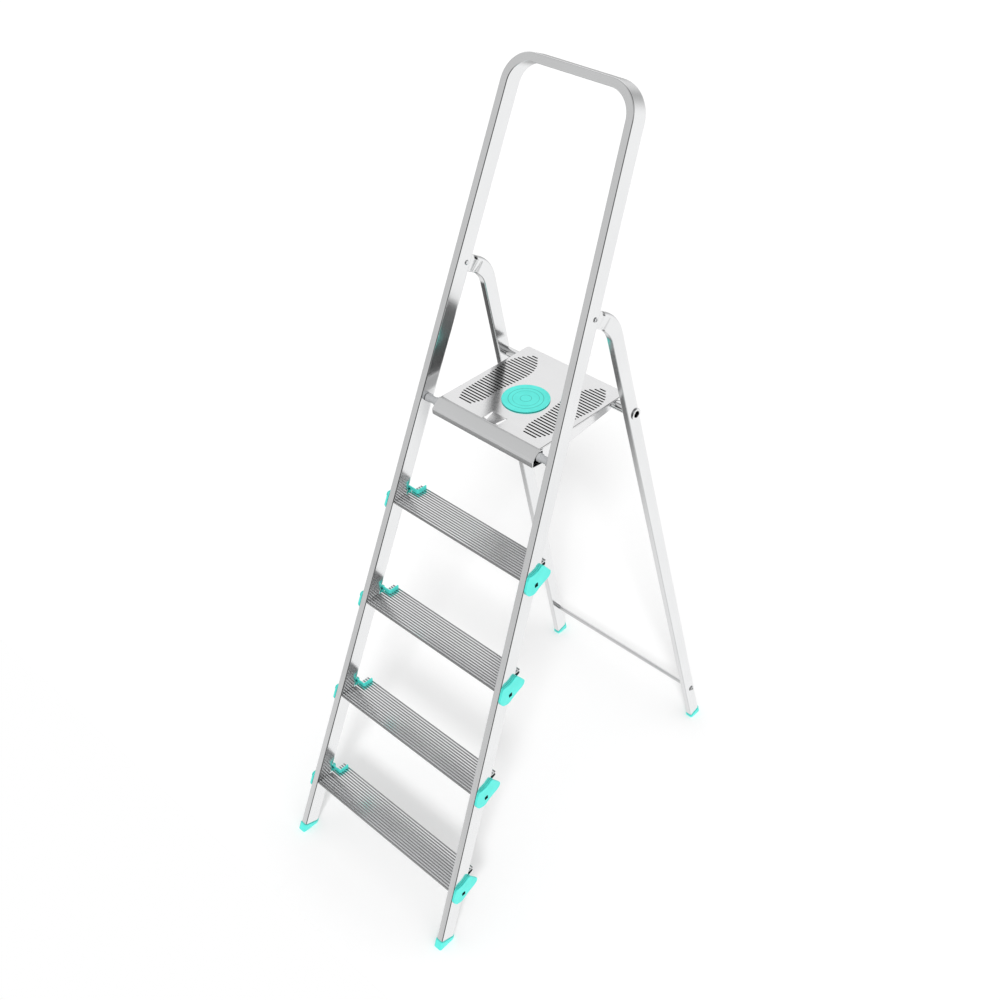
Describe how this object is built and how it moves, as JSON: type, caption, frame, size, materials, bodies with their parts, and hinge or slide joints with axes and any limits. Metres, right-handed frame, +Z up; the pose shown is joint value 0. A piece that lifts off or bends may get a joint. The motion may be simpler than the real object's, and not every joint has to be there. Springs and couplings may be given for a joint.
{
  "type": "step ladder",
  "caption": "Folding aluminium platform step ladder with grooved treads, a tall bent handrail, slotted platform and turquoise plastic clips and feet.",
  "frame": {"origin": "middle of the footprint, on the floor, ladder open", "axes": "+X across to the climber's right, -Y towards the climber, +Z up"},
  "size_m": [0.4728, 0.9416, 1.6875],
  "materials": {
    "satin_aluminium": "satin",
    "bright_aluminium": "mill finish",
    "steel": "polished",
    "turquoise_plastic": "satin",
    "grey_plastic": "satin"
  },
  "bodies": {
    "front": {"front_frame": "satin_aluminium", "tread_1": "bright_aluminium", "tread_2": "bright_aluminium", "tread_3": "bright_aluminium", "tread_4": "bright_aluminium", "tread_clip_right_1": "turquoise_plastic", "tread_clip_left_1": "turquoise_plastic", "tread_clip_right_2": "turquoise_plastic", "tread_clip_left_2": "turquoise_plastic", "tread_clip_right_3": "turquoise_plastic", "tread_clip_left_3": "turquoise_plastic", "tread_clip_right_4": "turquoise_plastic", "tread_clip_left_4": "turquoise_plastic", "front_foot_right": "turquoise_plastic", "front_foot_left": "turquoise_plastic", "platform_axle": "steel", "pivot_rivet_right": "steel", "pivot_rivet_left": "steel"},
    "rear": {"rear_leg_right": "satin_aluminium", "rear_leg_left": "satin_aluminium", "platform_support_tube": "bright_aluminium", "rear_brace_tube": "bright_aluminium", "rear_foot_right": "turquoise_plastic", "rear_foot_left": "turquoise_plastic"},
    "platform": {"platform_plate": "bright_aluminium", "platform_nosing": "satin_aluminium", "platform_badge": "turquoise_plastic", "platform_bush_right": "grey_plastic", "platform_bush_left": "grey_plastic"}
  },
  "joints": [
    {"name": "rear_fold", "type": "hinge", "parent": "front", "child": "rear", "pos_m": [0, 0.04916, 1.303], "axis": [-1, 0, 0], "range_deg": [0, 35.7]},
    {"name": "platform_fold", "type": "hinge", "parent": "front", "child": "platform", "pos_m": [0, -0.05768, 1.04264], "axis": [1, 0, 0], "range_deg": [0, 69.5]}
  ],
  "couplings": [
    {"joint": "platform_fold", "follows": "rear_fold", "ratio": 1.944}
  ]
}
